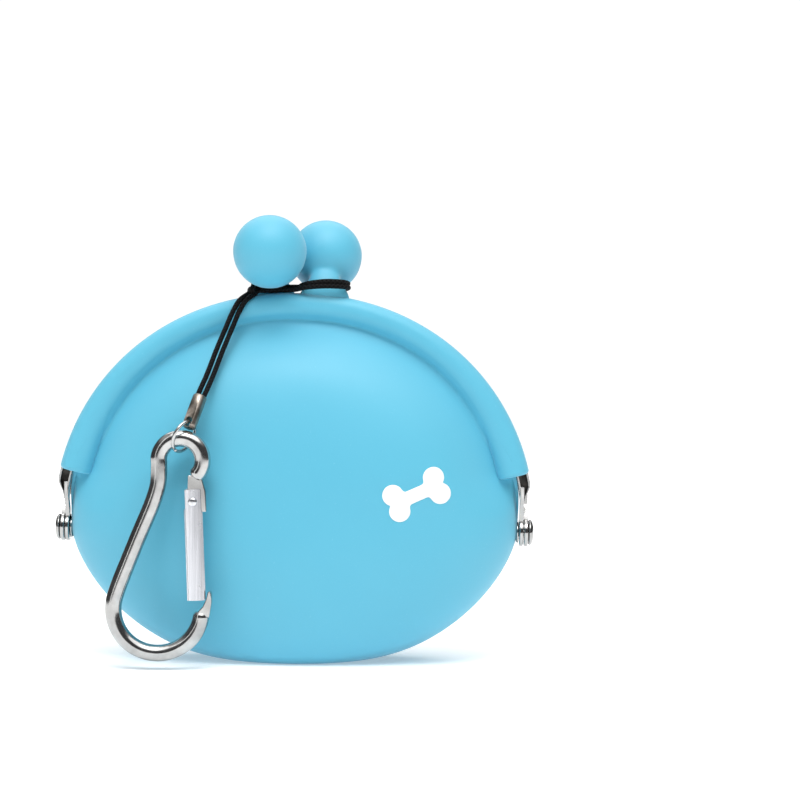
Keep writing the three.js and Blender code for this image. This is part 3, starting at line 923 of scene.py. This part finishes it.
def arm(x):
    """The flattened end of a channel: a tapering leaf and an eyelet with eased edges."""
    leaf = [
        (-ARM_WAIST, HINGE_Z),
        (ARM_WAIST, HINGE_Z),
        (0.6, 31.5),
        (-RIM_Y + CHANNEL_HALF_DEEP, 34.6),
        (-RIM_Y + CHANNEL_HALF_DEEP, ARM_TOP_Z),
        (-RIM_Y - CHANNEL_HALF_DEEP, ARM_TOP_Z),
        (-RIM_Y - CHANNEL_HALF_DEEP, 35.2),
        (-2.1, 32.2),
    ]
    upright = Matrix(((0, 0, 1, x + ARM_THICK / 2), (1, 0, 0, 0), (0, 1, 0, 0), (0, 0, 0, 1)))
    eyelet = [
        (EYELET - EYELET_EASE, 0),
        (EYELET, EYELET_EASE),
        (EYELET, ARM_THICK - EYELET_EASE),
        (EYELET - EYELET_EASE, ARM_THICK),
    ]
    return merged(extrude(leaf, ARM_THICK / 2, upright), lathe(eyelet, RIVET_SIDES, along_x(x)))


def steel_frame(name, sign):
    """A channel arch with its two arms, ready for either half of the clasp."""
    x = ARM_X[name]
    points, faces = merged(channel(), arm(x), arm(-x - ARM_THICK))
    obj = mesh_object(f"{name}_steel_frame", half_turned(points, sign), faces, NICKEL)
    obj.data.materials.append(PAINTED_CHANNEL_SHADE)
    # The faces inside the channel get the second material, which is painted shade for the hollow.
    for index in range(CHANNEL_STEPS * CHANNEL_SIDES):
        if index % CHANNEL_SIDES in CHANNEL_INSIDE:
            obj.data.polygons[index].material_index = 1
    add_bevel(obj, 0.09)
    return obj


def rivet(name, side):
    """A hinge rivet: flat tail inside, shaft through the four eyelets, domed head outside."""
    height = RIVET_HEAD_X - RIVET_TAIL_X
    profile = [(0.2, 0), (2.1, 0), (2.3, 0.15), (2.3, 0.5), (0.85, 0.55)]
    profile += [(0.85, height), (2.55, height), (RIVET_HEAD, height + 0.2)]
    rim = 0.3
    steps = 7
    for i in range(steps):
        turn = math.pi / 2 * i / steps
        up = height + rim + (RIVET_DOME - rim) * math.sin(turn)
        profile.append((RIVET_HEAD * math.cos(turn), up))
    points, faces = lathe(profile, RIVET_SIDES, along_x(RIVET_TAIL_X))
    return mesh_object(name, half_turned(points, side), faces, NICKEL)


def build_frames():
    for name, sign in (("front", 1), ("rear", -1)):
        steel = steel_frame(name, sign)
        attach(steel, f"{name}_frame")
        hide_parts(f"{name}_frame_arch")
    for name, side in (("right", 1), ("left", -1)):
        pin = rivet(f"{name}_hinge_rivet", side)
        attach(pin, "pouch")
        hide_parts(f"{name}_rivet")


# ---- The cord, the ferrule and the ring ---------------------------------------------------

# Twice round the neck of the front frame's ball, starting and ending at the hitch.
LOOP_ROUTE = [
    (-8.6, -3.4, 80.6),
    (-5, -3.2, 80.8),
    (-0.5, -4, 81),
    (2, -5.9, 81.4),
    (6, -6.5, 81.7),
    (9.8, -5.6, 81.7),
    (11.2, -2.8, 81.6),
    (9.8, 0, 81.4),
    (6, 0.9, 81.2),
    (2.4, 0.2, 81.2),
    (0.7, -2.5, 81.7),
    (2.2, -5.4, 82.2),
    (6, -6.3, 82.7),
    (9.7, -5.4, 82.7),
    (11.1, -2.8, 82.5),
    (9.7, -0.1, 82.2),
    (6, 0.8, 82.0),
    (2, -0.2, 81.8),
    (-1, -1.2, 81.7),
    (-5, -1.5, 81.6),
    (-8.6, -1.7, 81.4),
    (-10.2, -2.4, 81.1),
]
# From the hitch down to the ferrule, midway between the two strands.
STRAND_ROUTE = [
    (-9.7, -4.2, 80.1),
    (-11.6, -6.3, 78.4),
    (-12.9, -7.2, 76),
    (-14.4, -9, 72),
    (-16, -11.7, 67.4),
    (-17.7, -14.8, 62),
    (-19, -17.6, 58.3),
]


def ferrule_down():
    return (FERRULE_HOLE - FERRULE_TOP).normalized()


def strap_route():
    """Up one strand, round the neck, and down the other strand into the ferrule again."""
    inside = FERRULE_TOP + ferrule_down() * CORD_INTO_FERRULE
    strands = []
    for side in (1, -1):
        strand = [Vector((x + side * CORD_GAP, y, z)) for x, y, z in STRAND_ROUTE]
        strands.append([*strand, inside + Vector((side * CORD_SQUEEZE, 0, 0))])
    loop = [Vector(point) for point in LOOP_ROUTE]
    return curve_points([*reversed(strands[0]), *loop, *strands[1]], CORD_PER_SPAN)


def cord_tube(name, path):
    """A round cord with a UV map that counts the braid's picks, and its length."""
    sides = CORD_SIDES
    section = circle(CORD / 2, sides)
    points, faces = tube(path, lambda i: section, Vector((0, 1, 0)))
    obj = mesh_object(name, points, faces, NYLON)
    along = [0.0]
    for before, after in zip(path, path[1:]):
        along.append(along[-1] + (after - before).length / CORD_PICK)
    layer = obj.data.uv_layers.new(name="braid")
    for polygon in obj.data.polygons:
        corners = [obj.data.loops[i].vertex_index for i in polygon.loop_indices]
        wraps = {corner % sides for corner in corners} == {0, sides - 1}
        for loop_index, corner in zip(polygon.loop_indices, corners):
            turn = corner % sides
            if wraps and turn == 0:
                turn = sides
            layer.data[loop_index].uv = (turn / sides, along[corner // sides])
    return obj, along[-1] * CORD_PICK


def hitch_knot():
    """One turn of cord round both strands, where the loop is cinched."""
    path = []
    for i in range(HITCH_STEPS + 1):
        turn = 2 * math.pi * i / HITCH_TURN
        sine, cosine = math.sin(turn), math.cos(turn)
        lift = mix(-HITCH_LIFT, HITCH_LIFT, i / HITCH_STEPS)
        offset = Vector((HITCH_REACH.x * sine, HITCH_REACH.y * cosine, HITCH_REACH.z * sine))
        path.append(HITCH_CENTRE + offset + Vector((lift, 0, 0)))
    return cord_tube("strap_hitch", path)[0]


def turned_from_z(direction):
    return Vector((0, 0, 1)).rotation_difference(direction).to_matrix().to_4x4()


def cut_away(obj, tool):
    """Subtracts the tool object, which is then removed."""
    cut = obj.modifiers.new("cut", "BOOLEAN")
    cut.object = tool
    cut.operation = "DIFFERENCE"
    apply_modifiers(obj)
    bpy.data.objects.remove(tool)


def metal_tube_end():
    """The crimped tube on the cord's ends: rolled top edge, closed foot with a hole."""
    length = (FERRULE_HOLE - FERRULE_TOP).length + FERRULE_BELOW
    profile = [(1.2, 3.5), (1.2, 0.15), (1.28, 0.02), (1.42, 0.02), (FERRULE_RADIUS, 0.15)]
    profile += [(FERRULE_RADIUS, length - 0.5), (1.4, length - 0.15), (1.15, length), (0.2, length)]
    body = lathe(profile, FERRULE_SIDES, Matrix.Translation(FERRULE_TOP) @ turned_from_z(ferrule_down()))
    ferrule = mesh_object("cord_ferrule", *body, GUNMETAL)
    through = Matrix.Translation(FERRULE_HOLE) @ turned_from_z(ring_axes()[1])
    past = 4
    hole = lathe([(HOLE_RADIUS, -past), (HOLE_RADIUS, past)], PIN_SIDES, through)
    cut_away(ferrule, mesh_object("hole_cutter", *hole, GUNMETAL))
    return ferrule


def ring_axes():
    """The ring's own axes: out to the ferrule's hole, and along the wire there."""
    out = (FERRULE_HOLE - RING_CENTRE).normalized()
    along = Vector((math.sin(RING_YAW), math.cos(RING_YAW), 0))
    return out, out.cross(along).normalized().cross(out)


def split_ring():
    """The wire ring, with the butt joint of its two ends left slightly open."""
    out, along = ring_axes()
    path = []
    for i in range(RING_STEPS + 1):
        turn = RING_JOINT + RING_CLOSED * i / RING_STEPS
        path.append(RING_CENTRE + (out * math.cos(turn) + along * math.sin(turn)) * RING_RADIUS)
    section = circle(RING_WIRE, RING_SIDES)
    points, faces = tube(path, lambda i: section, out.cross(along))
    return mesh_object("split_ring", points, faces, NICKEL)


def build_strap():
    strap, length = cord_tube("strap_cord", strap_route())
    knot = hitch_knot()
    ferrule = metal_tube_end()
    ring = split_ring()
    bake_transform(strap)
    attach(knot, "front_frame")
    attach(ferrule, "strap")
    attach(ring, "ring")
    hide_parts("strap_loop", "strap_strand_left", "strap_strand_right")
    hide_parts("ferrule")
    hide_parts("jump_ring")
    return strap, length, (knot, ferrule, ring)


# ---- The snap hook ------------------------------------------------------------------------


def hook_place():
    """The hook's own plane: u across, v up, about the middle of its top loop."""
    drop = Vector((HOOK_LOOP * math.sin(HOOK_TILT), 0, HOOK_DROP + HOOK_LOOP * math.cos(HOOK_TILT)))
    return Matrix.Translation(RING_CENTRE - drop) @ Matrix.Rotation(HOOK_TILT, 4, "Y")


def pin_place():
    return hook_place() @ Matrix.Translation((PIN_U, 0, PIN_V)) @ Matrix.Rotation(-GATE_LEAN, 4, "Y")


def hook_arc(radius, centre_v, start, end, count):
    angles = [math.radians(mix(start, end, i / count)) for i in range(count + 1)]
    return [Vector((radius * math.cos(a), 0, centre_v + radius * math.sin(a))) for a in angles]


def hook_line():
    """From the nose round the bow, up the long bar, and round the top loop."""
    line = hook_arc(HOOK_BOW, HOOK_BOW_V, 4, -192, 14)
    line += [Vector((-6.5, 0, -18)), Vector((-4.3, 0, -9)), Vector((-3.9, 0, -5.4))]
    line += hook_arc(HOOK_LOOP, 0, 200, -42, 12)
    return curve_points(line, 6)


def in_plane(outline, thick, place):
    """A plate in the hook's plane, from (u, v) corners."""
    upright = Matrix(((1, 0, 0, 0), (0, 0, 1, 0), (0, 1, 0, 0), (0, 0, 0, 1)))
    points, faces = extrude(outline, thick / 2, place @ upright)
    return points, [tuple(reversed(face)) for face in faces]


def hook_body():
    """The bent wire with eased ends, the tongue inside the gate, and the lip on the nose."""
    place = hook_place()
    line = [place @ point for point in hook_line()]

    def section(i):
        gone = (line[i] - line[0 if i < len(line) / 2 else -1]).length
        scale = 1.0
        if min(i, len(line) - 1 - i) < WIRE_END_STEPS:
            scale = mix(WIRE_END, 1.0, smoothstep(gone, *WIRE_END_FADE))
        return circle(HOOK_WIRE * scale, WIRE_SIDES)

    wire = tube(line, section, Vector((0, 1, 0)))
    tongue = [(-1.1, -1.1), (0.4, -2.2), (2.7, -2.2), (2.7, 2), (1.9, 5.4), (-0.9, 5.6), (-1.1, 2)]
    lip = [(8.4, -31.4), (11.05, -31.6), (11.05, -28.4), (10.75, -26.6), (10.35, -26.1)]
    lip += [(9.95, -26.3), (9.8, -28), (9.35, -29.5), (8.6, -30.6)]
    points, faces = merged(
        wire,
        in_plane(tongue, TONGUE_THICK, pin_place()),
        in_plane(lip, LIP_THICK, place),
    )
    obj = mesh_object("hook_body", points, faces, NICKEL)
    add_bevel(obj, 0.22, 3, 50)
    return obj


def gate_outline():
    """The folded sheet's section: a rounded fold, open towards +u."""

    def lip_to_lip(half_u, half_v):
        points = []
        for i in range(GATE_STEPS + 1):
            turn = mix(-GATE_OPENING, GATE_OPENING - 2 * math.pi, i / GATE_STEPS)
            across = signed_power(math.cos(turn), 2 / GATE_POWER)
            up = signed_power(math.sin(turn), 2 / GATE_POWER)
            points.append((half_u * across, half_v * up))
        return points

    outer = lip_to_lip(GATE_HALF, GATE_DEEP)
    inner = lip_to_lip(GATE_HALF - GATE_SHEET, GATE_DEEP - GATE_SHEET)
    return inner + list(reversed(outer))


def gate_sheet():
    """The gate: folded round the tongue and notched over the pin."""
    place = pin_place()
    half = (GATE_ABOVE + GATE_BELOW) / 2
    middle = Matrix.Translation((0, 0, (GATE_ABOVE - GATE_BELOW) / 2))
    points, faces = extrude(gate_outline(), half, place @ middle)
    obj = mesh_object("hook_gate_sheet", points, faces, ALUMINIUM)
    notch = [(-3, -1.5), (3, -1.5), (3, 6.5), (-3, 6.5)]
    inside = 2 * (GATE_DEEP - GATE_SHEET)
    cut_away(obj, mesh_object("notch_cutter", *in_plane(notch, inside, place), ALUMINIUM))
    add_bevel(obj, 0.14, 2, 40)
    return obj


def gate_rivet():
    end = GATE_DEEP + PIN_PAST_GATE
    head = [(0.2, PIN_HEAD_THICK), (0.6, 0.3), (0.85, 0.18), (PIN_HEAD, 0.0)]
    profile = [(radius, -end - height) for radius, height in head]
    profile += [(PIN_RADIUS, -end), (PIN_RADIUS, end)]
    profile += [(radius, end + height) for radius, height in reversed(head)]
    across = Matrix.Rotation(-math.pi / 2, 4, "X")
    points, faces = lathe(profile, PIN_SIDES, pin_place() @ across)
    return mesh_object("gate_rivet", points, faces, ALUMINIUM)


def build_hook():
    body = hook_body()
    gate = gate_sheet()
    pin = gate_rivet()
    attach(body, "hook")
    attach(gate, "gate")
    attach(pin, "hook")
    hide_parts("hook_wire")
    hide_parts("hook_gate")
    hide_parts("gate_pin")
    return body, gate, pin


# ---- Camera, lights and floor -------------------------------------------------------------


def place_camera():
    data = bpy.data.cameras.new("camera")
    data.lens = LENS
    data.sensor_width = SENSOR
    camera = bpy.data.objects.new("camera", data)
    turn = Matrix.Rotation(math.pi / 2, 4, "X") @ Matrix.Rotation(CAMERA_TURN, 4, "Z")
    camera.matrix_world = Matrix.Translation([c * MM for c in CAMERA]) @ turn
    bpy.context.scene.collection.objects.link(camera)
    bpy.context.scene.camera = camera


def soft_box(name, where, size, power):
    """A rectangular lamp aimed at the middle of the pouch. Its place is in metres."""
    data = bpy.data.lights.new(name, "AREA")
    data.shape = "RECTANGLE"
    data.size, data.size_y = size
    data.energy = power
    light = bpy.data.objects.new(name, data)
    light.location = where
    light.rotation_euler = (Vector(LIGHTS_AIM) - Vector(where)).to_track_quat("-Z", "Y").to_euler()
    bpy.context.scene.collection.objects.link(light)


def place_lights():
    soft_box("key", (0.0, -0.42, 0.9), (0.45, 0.45), 4.4)
    soft_box("left_strip", (-0.6, -0.6, 0.4), (0.1, 0.9), 0.6)
    soft_box("back", (-0.1, 0.6, 0.8), (0.9, 0.4), 2.6)
    sun = bpy.data.lights.new("overhead", "SUN")
    sun.energy = 1.5
    sun.angle = math.radians(70)
    light = bpy.data.objects.new("overhead", sun)
    light.rotation_euler = (math.radians(18), math.radians(8), 0)
    bpy.context.scene.collection.objects.link(light)


def place_world():
    """White above and dark towards the horizon, so that polished metal shows dark streaks.

    The camera itself sees plain white.
    """
    world = bpy.data.worlds.new("studio")
    bpy.context.scene.world = world
    world.use_nodes = True
    tree = world.node_tree
    background = tree.nodes["Background"]
    coordinate = tree.nodes.new("ShaderNodeTexCoord")
    axes = tree.nodes.new("ShaderNodeSeparateXYZ")
    ramp = tree.nodes.new("ShaderNodeValToRGB")
    rays = tree.nodes.new("ShaderNodeLightPath")
    seen = tree.nodes.new("ShaderNodeMix")
    seen.data_type = "RGBA"
    height = tree.nodes.new("ShaderNodeMapRange")
    height.inputs["From Min"].default_value = -1.0
    tree.links.new(coordinate.outputs["Generated"], axes.inputs["Vector"])
    tree.links.new(axes.outputs["Z"], height.inputs["Value"])
    tree.links.new(height.outputs["Result"], ramp.inputs["Fac"])
    set_stops(ramp, SKY)
    tree.links.new(rays.outputs["Is Camera Ray"], seen.inputs["Factor"])
    tree.links.new(ramp.outputs["Color"], seen.inputs["A"])
    seen.inputs["B"].default_value = BACKDROP
    tree.links.new(seen.outputs["Result"], background.inputs["Color"])
    background.inputs["Strength"].default_value = SKY_STRENGTH


def place_floor():
    points, faces = lathe([(FLOOR_RADIUS, -1), (FLOOR_RADIUS, 0)], 64, Matrix())
    floor = mesh_object("studio_floor", points, faces, floor_paint(), smooth=False)


# ---- The scene ----------------------------------------------------------------------------


def declare_cord():
    path = [tuple(point * MM) for point in strap_route()]


def carry_over_nodes():
    """The CAD nodes that stay: the balls' steel posts and the gate's coil spring."""
    for name, material in (("front_post", NICKEL), ("rear_post", NICKEL), ("gate_spring", GUNMETAL)):
        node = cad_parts[name]
        for slot in node.material_slots:
            slot.material = material


place_camera()
strap, strap_length, on_cord = build_strap()
hook_parts = build_hook()
declare_cord()
build_bag()
film = bone_print()
bend_with(film)
build_frames()
carry_over_nodes()
place_floor()
place_world()
place_lights()
bpy.context.scene.view_settings.view_transform = "Standard"
